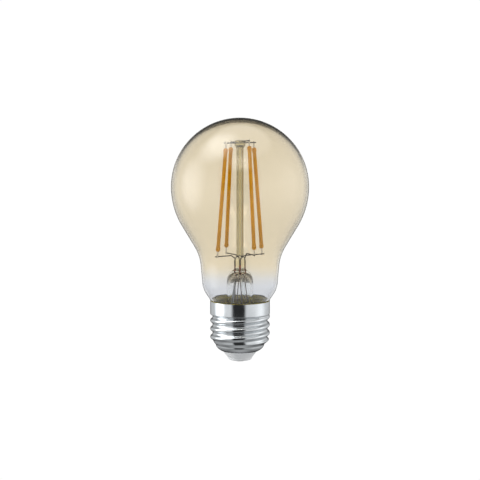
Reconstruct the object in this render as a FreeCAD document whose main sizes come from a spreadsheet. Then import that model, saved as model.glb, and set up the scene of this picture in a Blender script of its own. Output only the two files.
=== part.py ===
import FreeCAD, Part
import math
import os
import re

import Sketcher
from FreeCAD import Vector

# Smart filament bulb, E27 cap, modelled upright: +Z runs up the axis to the crown, and the origin
# is the tip of the centre contact. Lengths are in millimetres and angles in degrees.

SIZES = (
    # glass envelope
    ("globe_diameter", 60.0, "widest part of the globe"),
    ("lower_globe_radius", 33.0, "arc below the equator"),
    ("flank_angle", 31.0, "slope of the straight flank from the axis"),
    ("waist_radius", 20.0, "hollow arc between flank and neck"),
    ("neck_angle", 5.0, "slope of the upper neck from the axis"),
    ("neck_line", 7.5, "length of the upper neck"),
    ("shoulder_radius", 10.3, "arc from the neck down to the rim"),
    ("shoulder_angle", 33.0, "slope of the rim line from the axis"),
    ("shoulder_line", 3.27, "length of the rim line"),
    ("rim_roll", 0.9, "radius of the glass edge above the cap"),
    ("envelope_wall", 0.8, "glass thickness"),
    ("neck_corner", 0.6, "radius where the neck meets the rim"),
    ("neck_depth", 6.8, "neck below the cap's rim"),
    # screw cap
    ("shell_height", 22.1, "metal shell, lower lip to rim"),
    ("shell_lip_height", 4.5, "lower lip above the contact"),
    ("shell_wall", 0.3, "sheet thickness"),
    ("thread_crest", 13.05, "crest radius, and radius of the plain collar"),
    ("thread_depth", 1.05, "crest to root"),
    ("thread_pitch", 3.629, "right-hand pitch"),
    ("thread_start", 7.94, "height of the ridge at its start"),
    ("ridge_foot", 1.42, "half width of the ridge at its foot"),
    ("ridge_top", 0.45, "half width of the ridge near its crest"),
    ("ridge_sink", 0.4, "ridge sunk into the cap's core"),
    ("crest_drop", 0.26, "crest rounding of the ridge, a little under the collar"),
    ("collar_height", 5.8, "plain collar above the thread"),
    ("shell_lip_radius", 7.9, "radius of the lower lip"),
    ("shell_bowl_inset", 1.4, "top of the curved bottom, in from the root radius"),
    ("shell_bowl_height", 7.3, "height of the top of the curved bottom"),
    ("shell_bowl_arc", 4.2, "arc of the curved bottom"),
    ("thread_run_out", 9.3, "height where the thread is full"),
    # insulator and centre contact
    ("insulator_fit", 0.1, "gap between the insulator and the shell"),
    ("insulator_wall", 0.9, "wall of the plastic cup"),
    ("insulator_drop", 0.8, "cup's rim below the glass neck"),
    ("nose_height", 0.5, "flat end of the nose"),
    ("nose_radius", 5.3, "nose radius above its rounding"),
    ("nose_round", 1.1, "rounding of the nose"),
    ("floor_height", 3.0, "cup floor inside"),
    ("contact_radius", 3.0, "contact head"),
    ("contact_flat", 2.2, "flat tip of the contact head"),
    ("contact_head", 1.0, "height of the contact head"),
    ("shank_diameter", 2.0, "shank of the contact"),
    ("shank_top", 6.0, "end of the shank"),
    ("cement_depth", 5.1, "cement below the cap's rim"),
    ("cement_thickness", 1.05, "cement between the glass and the collar"),
    # stem
    ("flare_radius", 5.8, "outer radius of the stem tube"),
    ("flare_wall", 1.0, "wall of the stem tube"),
    ("stem_length", 20.1, "end of the neck to the flat on top of the stem tube"),
    ("stem_shoulder", 3.1, "rounding of the stem's shoulder"),
    ("stem_solid", 2.6, "solid glass under the press"),
    ("stem_inner_round", 2.4, "rounding inside the stem's top"),
    ("press_half_width", 2.65, "press, half width"),
    ("press_half_depth", 1.8, "press, half depth"),
    ("press_half_height", 6.5, "press, half height of its ellipsoid"),
    ("press_centre_rise", 3.1, "middle of the press above the stem tube"),
    ("press_height", 7.0, "press above the stem tube"),
    ("exhaust_radius", 1.25, "exhaust tube"),
    ("exhaust_bore", 0.5, "bore of the exhaust tube, radius"),
    ("exhaust_tip_rise", 0.7, "sealed tip of the exhaust tube above the end of the neck"),
    ("exhaust_across", 1.5, "exhaust tube, across"),
    ("exhaust_back", 1.9, "exhaust tube, to the back"),
    ("support_radius", 1.55, "support tube"),
    ("support_bore", 0.5, "bore of the support tube, radius"),
    ("button_drop", 2.1, "end of the support tube below the upper welds"),
    ("button_height", 3.4, "glass button"),
    ("button_radius", 2.35, "glass button"),
    # lead wires
    ("wire_diameter", 0.5, "support wires"),
    ("lead_diameter", 0.4, "leads below the press"),
    ("wire_bend", 0.7, "bend radius of the wires"),
    ("seal_sink", 1.7, "seal wires below the top of the stem tube"),
    ("seal_rise", 2.5, "seal wires above the top of the stem tube"),
    ("arm_exit_rise", 5.4, "turn of an arm outwards, above the top of the stem tube"),
    ("arm_rise", 2.3, "reach at which an arm is level"),
    ("arm_level_rise", 6.7, "level part of the arms above the top of the stem tube"),
    ("arm_overshoot", 1.0, "arm past the filament"),
    ("lead_turn_drop", 3.4, "turn of a lead outwards, below the top of the stem tube"),
    ("lead_foot", 2.2, "turn of a lead down again, above the driver board"),
    ("sleeve_diameter", 1.0, "insulating sleeve"),
    ("sleeve_drop", 4.5, "upper end of the sleeve below the top of the stem tube"),
    ("sleeve_foot", 3.6, "lower end of the sleeve above the driver board"),
    # filaments
    ("ring_angle", 30.8, "direction of the first filament"),
    ("ring_bottom", 11.5, "radius of the ring of lower welds"),
    ("ring_top", 7.1, "radius of the ring of upper welds"),
    ("crown_gap", 11.117, "upper welds below the crown"),
    ("bridge_overshoot", 0.9, "bridge wire past the filament"),
    ("coat_radius", 0.8, "phosphor coat"),
    ("coat_bulge", 0.98, "phosphor coat at its ends"),
    ("coat_bulge_length", 2.6, "length of each bulged end"),
    ("coat_start", 2.15, "bare metal below the coat"),
    ("strip_width", 0.75, "carrier strip"),
    ("strip_thickness", 0.25, "carrier strip"),
    ("pin_reach", 2.9, "pin from the weld to the carrier strip"),
    ("pin_overshoot", 0.6, "pin past the weld"),
    ("weld_bite", 0.06, "wire pressed into the pin by the weld"),
    ("chip_length", 0.9, "diode chip"),
    ("chip_width", 0.45, "diode chip"),
    ("chip_height", 0.2, "diode chip"),
    ("chip_count", 28, "diode chips on a strip"),
    ("chip_margin", 0.9, "strip end to the first chip"),
    # driver
    ("board_gap", 0.9, "gap between the driver board and the cup"),
    ("board_drop", 3.0, "driver board's lower face below the cup's rim"),
    ("board_thickness", 1.0, "driver board"),
    ("can_width", 4.4, "shield can"),
    ("can_depth", 3.8, "shield can"),
    ("can_height", 1.1, "shield can"),
    ("can_wall", 0.15, "shield can"),
    ("capacitor_across", 4.4, "bulk capacitor"),
    ("capacitor_back", 3.0, "bulk capacitor"),
    ("capacitor_radius", 3.15, "bulk capacitor"),
    ("capacitor_length", 7.2, "bulk capacitor"),
    ("choke_across", -5.0, "choke"),
    ("choke_back", 3.0, "choke"),
    ("choke_radius", 2.75, "choke"),
    ("winding_set_in", 0.3, "winding under the choke's flanges"),
    ("choke_waist", 1.3, "choke"),
    ("choke_length", 6.4, "choke"),
    ("choke_flange", 0.8, "choke"),
    ("fusible_across", -6.0, "fusible resistor"),
    ("fusible_back", -3.4, "fusible resistor"),
    ("fusible_radius", 1.2, "fusible resistor"),
    ("fusible_length", 6.0, "fusible resistor"),
    ("neutral_start", 9.0, "neutral wire on the board"),
    ("neutral_gap", 0.3, "neutral wire short of the thread's inner crest"),
    ("neutral_rise", 0.4, "neutral wire over the cup's rim"),
    # antenna wire
    ("aerial_across", -3.4, "foot of the antenna wire"),
    ("aerial_back", 4.7, "foot of the antenna wire"),
    ("aerial_reach", 3.13, "antenna wire, how far it leans towards the axis"),
    ("aerial_yaw", -67.5, "direction in which it leans"),
    ("aerial_foot", 1.6, "upright foot of the antenna wire"),
    ("aerial_lean_height", 8.5, "antenna wire upright again above the driver board"),
    ("aerial_tip_drop", 5.9, "tip of the antenna wire below the top of the stem tube"),
)

WORKED_OUT = (
    ("shell_top", "shell_lip_height + shell_height", "rim of the metal shell"),
    ("neck_bottom", "shell_top - neck_depth", "lower end of the glass neck"),
    ("insulator_top", "neck_bottom - insulator_drop", "rim of the plastic cup"),
    ("board_bottom", "insulator_top - board_drop", "lower face of the driver board"),
    ("board_top", "board_bottom + board_thickness", "upper face of the driver board"),
    ("module_top", "board_top + wireless_board_height", "upper face of the wireless board"),
    ("thread_root", "thread_crest - thread_depth", "root radius of the thread"),
    ("neck_outer", "thread_crest - shell_wall - cement_thickness", "glass neck inside the cap"),
    ("shell_bowl_radius", "thread_root - shell_bowl_inset", "top of the curved bottom"),
    ("board_radius", "thread_root - shell_wall - insulator_fit - insulator_wall - board_gap",
     "driver board"),
    ("cement_bottom", "shell_top - cement_depth", "lower face of the cement"),
    ("stem_top", "neck_bottom + stem_length", "flat on top of the stem tube"),
    ("press_centre", "stem_top + press_centre_rise", "middle of the press"),
    ("press_top", "stem_top + press_height", "top of the press"),
    ("exhaust_tip", "neck_bottom + exhaust_tip_rise", "sealed tip of the exhaust tube"),
    ("seal_bottom", "stem_top - seal_sink", "lower end of the seal wires"),
    ("seal_top", "stem_top + seal_rise", "upper end of the seal wires"),
    ("arm_exit", "stem_top + arm_exit_rise", "turn of an arm outwards"),
    ("arm_height", "stem_top + arm_level_rise", "level part of the arms"),
    ("lead_turn", "stem_top - lead_turn_drop", "turn of a lead outwards"),
    ("lead_landing", "board_top + lead_foot", "turn of a lead down again"),
    ("sleeve_top", "stem_top - sleeve_drop", "upper end of the sleeve"),
    ("sleeve_bottom", "board_top + sleeve_foot", "lower end of the sleeve"),
    ("neutral_height", "insulator_top + neutral_rise", "neutral wire over the cup's rim"),
    ("aerial_level", "board_top + aerial_lean_height", "antenna wire upright again"),
    ("aerial_top", "stem_top - aerial_tip_drop", "tip of the antenna wire"),
    ("collar_bottom", "shell_top - collar_height - (thread_crest - thread_root)", "foot of the collar"),
    ("thread_full", "thread_run_out + 1.2", "lowest height of the full ridge"),
    ("thread_length", "collar_bottom + 2.9 - thread_start", "rise of the ridge"),
    ("rim_across", "neck_outer + neck_corner", "centre of the rolled glass edge"),
    ("rim_up", "shell_top + 0.05 + rim_roll", "centre of the rolled glass edge"),
    ("neck_bore", "neck_outer - envelope_wall", "inside of the neck"),
    ("flare_bend", "neck_bore - flare_radius", "arc of the flared mouth"),
    ("shoulder_across", "rim_across + (rim_roll - shoulder_radius) * cos(shoulder_angle)"
     " + shoulder_line * sin(shoulder_angle)", "centre of the shoulder arc"),
    ("shoulder_up", "rim_up + (shoulder_radius - rim_roll) * sin(shoulder_angle)"
     " + shoulder_line * cos(shoulder_angle)", "centre of the shoulder arc"),
    ("waist_across", "shoulder_across + (shoulder_radius + waist_radius) * cos(neck_angle)"
     " + neck_line * sin(neck_angle)", "centre of the waist arc"),
    ("waist_up", "shoulder_up - (shoulder_radius + waist_radius) * sin(neck_angle)"
     " + neck_line * cos(neck_angle)", "centre of the waist arc"),
    ("lower_centre", "globe_diameter / 2 - lower_globe_radius", "centre of the lower globe arc"),
    ("flank_line", "(lower_centre - waist_across + (lower_globe_radius + waist_radius)"
     " * cos(flank_angle)) / sin(flank_angle)", "length of the straight flank"),
    ("globe_centre", "waist_up + (waist_radius + lower_globe_radius) * sin(flank_angle)"
     " + flank_line * cos(flank_angle)", "height of the globe's equator"),
    ("bridge_height", "globe_centre + globe_diameter / 2 - crown_gap", "height of the upper welds"),
    ("button_bottom", "bridge_height - button_drop", "end of the support tube"),
    ("flare_up", "neck_bottom + flare_wall + flare_bend", "end of the flared mouth"),
    ("flare_lip_drop", "flare_up - neck_bottom - sqrt((neck_bore - flare_radius + flare_wall) ^ 2"
     " - flare_wall ^ 2)", "inner edge of the flared mouth"),
    ("filament_lean", "atan((ring_bottom - ring_top) / (bridge_height - arm_height))",
     "lean of a filament towards the axis"),
    ("filament_length", "(bridge_height - arm_height) / cos(filament_lean)", "weld to weld"),
    ("weld_offset", "wire_diameter / 2 + strip_thickness / 2 - weld_bite",
     "pin beside the wire that it is welded to"),
)

# Lead wires: place in the press looking down the axis, and the landing on the driver board.
SEALS = {
    "left": {"across": -1.9, "back": 0.0, "landing_across": -4.2, "landing_back": -0.6},
    "front": {"across": 0.1, "back": -1.05, "landing_across": 1.3, "landing_back": -3.6},
    "right": {"across": 2.0, "back": -0.35, "landing_across": 4.2, "landing_back": -0.2},
    "back": {"across": -0.6, "back": 0.9, "landing_across": -1.8, "landing_back": 3.1},
}

# Filaments round the ring: the seal that feeds each one, how far it stands round from the first,
# and how much higher than the level ring it was welded.
FILAMENTS = {
    "back_right": ("front", {"turn": 0, "lift": 0.2}),
    "back_left": ("back", {"turn": 90, "lift": 0.2}),
    "front_left": ("left", {"turn": 180, "lift": 0.3}),
    "front_right": ("right", {"turn": 270, "lift": 1.45}),
}

# Rectangular components: the face each one stands on, then its size and its place on the board.
BLOCKS = {
    "bridge_rectifier": ("board_top", {"width": 4.4, "depth": 3.6, "height": 1.9,
                                       "across": 5.6, "back": -3.4}),
    "driver_chip": ("board_top", {"width": 4.9, "depth": 3.9, "height": 1.5,
                                  "across": -0.6, "back": -6.6}),
    "dimmer_chip": ("board_top", {"width": 3.2, "depth": 3.0, "height": 1.2,
                                  "across": -6.3, "back": -3.2}),
    "wireless_board": ("board_top", {"width": 9.0, "depth": 4.4, "height": 0.8,
                                     "across": 0.0, "back": 6.3}),
    "wireless_chip": ("module_top", {"width": 2.5, "depth": 2.5, "height": 0.7,
                                     "across": 2.0, "back": 6.3}),
    "wireless_crystal": ("module_top", {"width": 2.0, "depth": 1.6, "height": 0.6,
                                        "across": -1.9, "back": 6.9}),
    "film_capacitor": ("board_bottom - film_capacitor_height",
                       {"width": 7.0, "depth": 3.2, "height": 5.6, "across": 1.2, "back": -6.0}),
}

# Small surface-mounted components, one node for each kind: size, then the place of each one.
CHIPS = {
    "chip_resistors": ({"width": 1.6, "depth": 0.8, "height": 0.45},
                       ((-3.6, 1.4), (-6.8, 0.4), (-6.8, 2.0), (7.4, 1.6), (7.4, 3.0), (4.4, 2.4))),
    "chip_capacitors": ({"width": 2.0, "depth": 1.25, "height": 0.9},
                        ((-6.0, 4.4), (6.8, 4.8), (3.2, -6.4))),
}

doc = FreeCAD.newDocument("SmartFilamentBulb")
sizes = doc.addObject("Spreadsheet::Sheet", "Sizes")
places = doc.addObject("Spreadsheet::Sheet", "Places")
known = {}
parts = []


def store(sheet, row, alias, content, note):
    """Write one named cell with its note beside it."""
    sheet.set("A%d" % row, note)
    sheet.set("B%d" % row, content)
    sheet.setAlias("B%d" % row, alias)
    known[alias] = sheet.Name


def full(formula):
    """Put the sheet's name in front of every alias of a formula."""
    return re.sub(r"[a-z][a-z_0-9]*", lambda word: known[word.group()] + "." + word.group()
                  if word.group() in known else word.group(), str(formula))


def number(formula):
    """Work out a formula's present value."""
    value = sizes.evalExpression(full(formula))
    return float(getattr(value, "Value", value))


def next_row(sheet):
    """Return the first free row of a sheet."""
    return 1 + list(known.values()).count(sheet.Name)


def dimension(alias, value, note):
    """Name a driving dimension."""
    store(sizes, next_row(sizes), alias, "%g" % value, note)


def work_out(alias, formula, note):
    """Name a value that follows from the driving dimensions."""
    store(places, next_row(places), alias, "=" + full(formula), note)
    doc.recompute()


def bind(thing, **formulas):
    """Tie properties of an object to formulas; a double underscore stands for a dot."""
    for name, formula in formulas.items():
        thing.setExpression(name.replace("__", "."), full(formula))


def put(thing, across=0, back=0, up=0, yaw=0, pitch=0):
    """Place an object by formulas: its position, then its turn about Z and its lean."""
    thing.setExpression("Placement", full(
        "create(<<placement>>; create(<<vector>>; %s; %s; %s); create(<<rotation>>; %s; %s; 0))"
        % (across, back, up, yaw, pitch)))


def keep(thing, label):
    """Make an object a sub-part: its label becomes the node's name."""
    thing.Label = label
    parts.append(thing)
    return thing


def make(kind, name, **formulas):
    """Add an object of a Part type with its sizes bound."""
    thing = doc.addObject(kind, name)
    bind(thing, **formulas)
    return thing


def cut(label, base, *tools):
    """Keep base minus its neighbours, so that they meet face to face."""
    tool = tools[0]
    if len(tools) > 1:
        tool = doc.addObject("Part::MultiFuse", label + "_tools")
        tool.Shapes = list(tools)
    result = doc.addObject("Part::Cut", label)
    result.Base = base
    result.Tool = tool
    return keep(result, label)


def new_sketch(body, role, name):
    """Add a sketch on one of the body's own origin planes."""
    sketch = body.newObject("Sketcher::SketchObject", name)
    plane = next(item for item in body.Origin.OriginFeatures if item.Role == role)
    sketch.AttachmentSupport = [(plane, "")]
    sketch.MapMode = "FlatFace"
    return sketch


def pin_point(sketch, geometry, position, across, up):
    """Fix a point of a sketch at two formulas."""
    for axis, kind, formula in ((-2, "DistanceX", across), (-1, "DistanceY", up)):
        if str(formula) == "0":
            sketch.addConstraint(Sketcher.Constraint("PointOnObject", geometry, position, axis))
            continue
        index = sketch.addConstraint(
            Sketcher.Constraint(kind, -1, 1, geometry, position, number(formula)))
        sketch.setExpression("Constraints[%d]" % index, full(formula))


def add_radius(sketch, geometry, formula):
    """Set an arc's radius by formula."""
    index = sketch.addConstraint(Sketcher.Constraint("Radius", geometry, number(formula)))
    sketch.setExpression("Constraints[%d]" % index, full(formula))


def arc(start, end, radius, turn):
    """Return the short arc from start to end; turn is 1 to the left and -1 to the right."""
    half = (end - start) / 2
    rise = math.sqrt(max(radius ** 2 - half.Length ** 2, 0.0))
    aside = Vector(-half.y, half.x, 0).normalize() * turn
    centre = (start + end) / 2 + aside * rise
    first, last = (start, end) if turn > 0 else (end, start)
    angles = [math.atan2(point.y - centre.y, point.x - centre.x) for point in (first, last)]
    return Part.ArcOfCircle(Part.Circle(centre, Vector(0, 0, 1), radius), *angles)


def draw(sketch, outline):
    """Draw a closed outline of corners (across, up) or (across, up, arc radius, turn)."""
    points = [Vector(number(corner[0]), number(corner[1]), 0) for corner in outline]
    ends = []
    for index, corner in enumerate(outline):
        start, end = points[index - 1], points[index]
        if len(corner) == 2:
            geometry = sketch.addGeometry(Part.LineSegment(start, end))
            ends.append((geometry, 1, 2))
            continue
        geometry = sketch.addGeometry(arc(start, end, number(corner[2]), corner[3]))
        ends.append((geometry, 1, 2) if corner[3] > 0 else (geometry, 2, 1))
    for index, corner in enumerate(outline):
        geometry, _, last = ends[index]
        following, first, _ = ends[(index + 1) % len(outline)]
        sketch.addConstraint(Sketcher.Constraint("Coincident", geometry, last, following, first))
        pin_point(sketch, geometry, last, corner[0], corner[1])
        if len(corner) > 2:
            add_radius(sketch, geometry, corner[2])


def turned(name, outline):
    """Revolve an outline of (radius, height) corners about the Z axis."""
    body = doc.addObject("PartDesign::Body", name)
    sketch = new_sketch(body, "XZ_Plane", name + "_profile")
    draw(sketch, outline)
    solid = body.newObject("PartDesign::Revolution", name + "_turned")
    solid.Profile = sketch
    solid.ReferenceAxis = (sketch, ["V_Axis"])
    solid.Angle = 360
    return body


def tube(name, radius, bore, bottom, top):
    """Revolve a plain tube."""
    return turned(name, [(bore, bottom), (radius, bottom), (radius, top), (bore, top)])


def plate(name, width, depth, height):
    """Pad a rectangle centred on the axis, upwards from the body's own origin."""
    body = doc.addObject("PartDesign::Body", name)
    sketch = new_sketch(body, "XY_Plane", name + "_profile")
    wide, deep = "(%s) / 2" % width, "(%s) / 2" % depth
    draw(sketch, [("-" + wide, "-" + deep), (wide, "-" + deep), (wide, deep), ("-" + wide, deep)])
    pad = body.newObject("PartDesign::Pad", name + "_pad")
    pad.Profile = sketch
    bind(pad, Length=height)
    return body


def bent_wire(name, diameter, route):
    """Sweep a round wire along a route of (reach, height) corners with rounded bends."""
    body = doc.addObject("PartDesign::Body", name)
    path = new_sketch(body, "XZ_Plane", name + "_route")
    points = [Vector(number(reach), number(height), 0) for reach, height in route]
    bend = number("wire_bend")
    starts, finishes = [points[0]], []
    for before, corner, after in zip(points, points[1:], points[2:]):
        back, ahead = (before - corner).normalize(), (after - corner).normalize()
        trim = bend * math.tan((math.pi - back.getAngle(ahead)) / 2)
        finishes.append(corner + back * trim)
        starts.append(corner + ahead * trim)
    finishes.append(points[-1])
    lines = [path.addGeometry(Part.LineSegment(*pair)) for pair in zip(starts, finishes)]
    pin_point(path, lines[0], 1, *route[0])
    pin_point(path, lines[-1], 2, *route[-1])
    for index, (reach, height) in enumerate(route[1:-1]):
        entry, leave = finishes[index], starts[index + 1]
        turn = 1 if (entry - starts[index]).cross(leave - entry).z > 0 else -1
        curve = path.addGeometry(arc(entry, leave, bend, turn))
        first, last = (1, 2) if turn > 0 else (2, 1)
        path.addConstraint(Sketcher.Constraint("Tangent", lines[index], 2, curve, first))
        path.addConstraint(Sketcher.Constraint("Tangent", curve, last, lines[index + 1], 1))
        add_radius(path, curve, "wire_bend")
        corner = path.addGeometry(Part.Point(points[index + 1]), True)
        pin_point(path, corner, 1, reach, height)
        for line in lines[index:index + 2]:
            path.addConstraint(Sketcher.Constraint("PointOnObject", corner, 1, line))
    section = new_sketch(body, "XY_Plane", name + "_section")
    bind(section, AttachmentOffset__Base__z=route[0][1])
    circle = section.addGeometry(Part.Circle(Vector(), Vector(0, 0, 1), number(diameter) / 2))
    section.addConstraint(Sketcher.Constraint("Coincident", circle, 3, -1, 1))
    add_radius(section, circle, "(%s) / 2" % diameter)
    sweep = body.newObject("PartDesign::AdditivePipe", name + "_sweep")
    sweep.Profile = section
    sweep.Spine = path
    return body


def envelope_side(inset):
    """One side of the envelope from crown to neck; inset is 0 outside and the wall inside."""
    inner = "(%s)" % inset
    return [
        ("0", "globe_centre + globe_diameter / 2 - " + inner),
        ("globe_diameter / 2 - " + inner, "globe_centre", "globe_diameter / 2 - " + inner, -1),
        ("lower_centre + (lower_globe_radius - %s) * cos(flank_angle)" % inner,
         "globe_centre - (lower_globe_radius - %s) * sin(flank_angle)" % inner,
         "lower_globe_radius - " + inner, -1),
        ("waist_across - (waist_radius + %s) * cos(flank_angle)" % inner,
         "waist_up + (waist_radius + %s) * sin(flank_angle)" % inner),
        ("waist_across - (waist_radius + %s) * cos(neck_angle)" % inner,
         "waist_up + (waist_radius + %s) * sin(neck_angle)" % inner, "waist_radius + " + inner, 1),
        ("shoulder_across + (shoulder_radius - %s) * cos(neck_angle)" % inner,
         "shoulder_up - (shoulder_radius - %s) * sin(neck_angle)" % inner),
        ("shoulder_across + (shoulder_radius - %s) * cos(shoulder_angle)" % inner,
         "shoulder_up - (shoulder_radius - %s) * sin(shoulder_angle)" % inner,
         "shoulder_radius - " + inner, -1),
        ("rim_across + (rim_roll - %s) * cos(shoulder_angle)" % inner,
         "rim_up - (rim_roll - %s) * sin(shoulder_angle)" % inner),
        ("rim_across", "rim_up - rim_roll + " + inner, "rim_roll - " + inner, -1),
        ("neck_outer - " + inner, "rim_up - rim_roll - neck_corner",
         "neck_corner + " + inner, 1),
        ("neck_outer - " + inner, "neck_bottom"),
    ]


def glass_envelope():
    """One blown shell: globe, flank, waist, neck and the narrow part held in the cap."""
    outside = envelope_side("0")
    inside = envelope_side("envelope_wall")
    # Walking back up the inside, each arc belongs to the corner that it now ends on.
    returning = []
    for corner, after in zip(reversed(inside), [None] + list(reversed(inside))):
        bend = after[2:] if after else ()
        returning.append(corner[:2] + tuple(bend[:1]) + tuple(-turn for turn in bend[1:]))
    keep(turned("glass_envelope", outside + returning), "glass_envelope")


def cap_form(name, inset):
    """The threaded cap as a solid, set in by the sheet's thickness for its inside."""
    core = turned(name + "_core", [
        ("0", "shell_lip_height"),
        ("shell_lip_radius - %s" % inset, "shell_lip_height"),
        ("shell_bowl_radius - %s" % inset, "shell_bowl_height + %s" % inset,
         "shell_bowl_arc", 1),
        ("thread_root - %s" % inset, "thread_run_out + %s" % inset),
        ("thread_root - %s" % inset, "collar_bottom"),
        ("thread_crest - %s" % inset, "collar_bottom + (thread_crest - thread_root)"),
        ("thread_crest - %s" % inset, "shell_top"),
        ("0", "shell_top"),
    ])
    ridge = doc.addObject("PartDesign::Body", name + "_ridge")
    sketch = new_sketch(ridge, "XZ_Plane", name + "_ridge_profile")
    root, crest = "thread_root - ridge_sink - %s" % inset, "thread_crest - %s" % inset
    draw(sketch, [
        (root, "thread_start - ridge_foot"),
        ("thread_root - %s" % inset, "thread_start - ridge_foot"),
        (crest + " - crest_drop", "thread_start - ridge_top"),
        (crest + " - crest_drop", "thread_start + ridge_top", "ridge_top * 1.25", 1),
        ("thread_root - %s" % inset, "thread_start + ridge_foot"),
        (root, "thread_start + ridge_foot"),
    ])
    helix = ridge.newObject("PartDesign::AdditiveHelix", name + "_ridge_sweep")
    helix.Profile = sketch
    helix.ReferenceAxis = (sketch, ["V_Axis"])
    bind(helix, Pitch="thread_pitch", Height="thread_length")
    put(ridge, yaw=-90)
    limit = turned(name + "_limit", [
        ("0", "shell_bowl_height + %s" % inset),
        ("shell_bowl_radius - %s" % inset, "shell_bowl_height + %s" % inset),
        ("thread_crest + thread_pitch", "thread_full + thread_pitch + %s" % inset),
        ("thread_crest + thread_pitch", "shell_top + thread_pitch"),
        ("0", "shell_top + thread_pitch"),
    ])
    trimmed = make("Part::Common", name + "_trimmed")
    trimmed.Base = ridge
    trimmed.Tool = limit
    form = doc.addObject("Part::Fuse", name)
    form.Base = core
    form.Tool = trimmed
    return form


def screw_shell():
    """Nickel-plated sheet with the rolled thread, open at the rim and at the lower lip."""
    cut("screw_shell", cap_form("cap_outside", "0"), cap_form("cap_inside", "shell_wall"))


def insulator():
    """White plastic cup under the shell; its nose shows below the metal."""
    gap = "(shell_wall + insulator_fit)"
    wall = "(shell_wall + insulator_fit + insulator_wall)"
    keep(turned("insulator", [
        ("shank_diameter / 2", "contact_head"),
        ("contact_radius", "contact_head"),
        ("contact_radius", "nose_height"),
        ("nose_radius - nose_round", "nose_height"),
        ("nose_radius", "nose_height + nose_round", "nose_round", 1),
        ("shell_lip_radius - %s" % gap, "shell_lip_height - insulator_fit"),
        ("shell_lip_radius - %s" % gap, "shell_lip_height + %s" % gap),
        ("shell_bowl_radius - %s" % gap, "shell_bowl_height + %s" % gap, "shell_bowl_arc", 1),
        ("thread_root - %s" % gap, "thread_run_out + %s" % gap),
        ("thread_root - %s" % gap, "insulator_top"),
        ("thread_root - %s" % wall, "insulator_top"),
        ("thread_root - %s" % wall, "thread_run_out + %s" % wall),
        ("shell_bowl_radius - %s" % wall, "shell_bowl_height + %s" % wall),
        ("nose_radius - insulator_wall", "floor_height"),
        ("shank_diameter / 2", "floor_height"),
    ]), "insulator")


def centre_contact():
    """Plated brass nail: a flat-topped dome outside and a shank through the nose."""
    keep(turned("centre_contact", [
        ("0", "0"),
        ("contact_flat", "0"),
        ("contact_radius", "contact_head", "contact_head * 1.5", 1),
        ("shank_diameter / 2", "contact_head"),
        ("shank_diameter / 2", "shank_top"),
        ("0", "shank_top"),
    ]), "centre_contact")


def basing_cement():
    """Ring of baked cement between the glass neck and the collar, up to the glass edge."""
    bore = "thread_crest - shell_wall"
    keep(turned("basing_cement", [
        ("neck_outer", "cement_bottom"),
        (bore, "cement_bottom"),
        (bore, "shell_top"),
        ("rim_across", "rim_up - rim_roll"),
        ("neck_outer", "rim_up - rim_roll - neck_corner", "neck_corner", 1),
    ]), "basing_cement")


def seal_wires():
    """Short copper-clad wires that seal in the press glass, one for each filament."""
    wires = []
    for name in SEALS:
        wire = make("Part::Cylinder", "seal_" + name, Radius="wire_diameter / 2",
                    Height="seal_top - seal_bottom")
        put(wire, name + "_across", name + "_back", "seal_bottom")
        wires.append(keep(wire, "seal_wire_" + name))
    return wires


def support_arms():
    """Stiff wires from the press out to the lower filament pins."""
    arms = {}
    for name, (seal, _) in FILAMENTS.items():
        east = "(%s_across - %s_across)" % (name, seal)
        north = "(%s_back - %s_back)" % (name, seal)
        reach = "hypot(%s; %s) + arm_overshoot" % (east, north)
        level = "arm_height + %s_lift" % name
        arm = bent_wire("arm_" + name, "wire_diameter", [
            ("0", "seal_top"), ("0", "arm_exit"), ("arm_rise", level), (reach, level)])
        put(arm, seal + "_across", seal + "_back", yaw="atan2(%s; %s)" % (north, east))
        arms[name] = keep(arm, "support_arm_" + name)
    return arms


def landing(name):
    """Return how far a lead runs outwards below the press, and in which direction."""
    east = "(%s_landing_across - %s_across)" % (name, name)
    north = "(%s_landing_back - %s_back)" % (name, name)
    return "hypot(%s; %s)" % (east, north), "atan2(%s; %s)" % (north, east)


def outer_leads():
    """Leads from the seals down through the stem to the driver board."""
    leads = []
    for name in SEALS:
        reach, yaw = landing(name)
        lead = bent_wire("lead_" + name, "lead_diameter", [
            ("0", "seal_bottom"), ("0", "lead_turn"), (reach, "lead_landing"),
            (reach, "board_top")])
        put(lead, name + "_across", name + "_back", yaw=yaw)
        leads.append(keep(lead, "outer_lead_" + name))
    return leads


def lead_sleeve():
    """Pale glass-fibre sleeve over the left lead, along its sloping run."""
    reach, yaw = landing("left")
    lean = "atan(%s / (lead_turn - lead_landing))" % reach
    sleeve = tube("sleeve", "sleeve_diameter / 2", "lead_diameter / 2",
                  "(sleeve_bottom - lead_turn) / cos(%s)" % lean,
                  "(sleeve_top - lead_turn) / cos(%s)" % lean)
    put(sleeve, "left_across", "left_back", "lead_turn", yaw, "-(%s)" % lean)
    keep(sleeve, "lead_sleeve")


def bridge_wires():
    """Two wires through the top button; each one joins the tops of two facing filaments."""
    wires = {}
    for name, first, second in (("front_left_to_back_right", "back_right", "front_left"),
                                ("front_right_to_back_left", "back_left", "front_right")):
        lean = "atan((%s_lift - %s_lift) / (2 * ring_top))" % (first, second)
        reach = "(ring_top + bridge_overshoot)"
        wire = make("Part::Cylinder", "bridge_" + name, Radius="wire_diameter / 2",
                    Height="2 * %s / cos(%s)" % (reach, lean))
        angle = "(ring_angle + %s_turn)" % first
        middle = "bridge_height + (%s_lift + %s_lift) / 2" % (first, second)
        put(wire, "-%s * cos(%s)" % (reach, angle), "-%s * sin(%s)" % (reach, angle),
            "%s - %s * tan(%s)" % (middle, reach, lean), angle, "90 deg - %s" % lean)
        for end in (first, second):
            wires[end] = wire
        keep(wire, "bridge_wire_" + name)
    return wires


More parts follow.
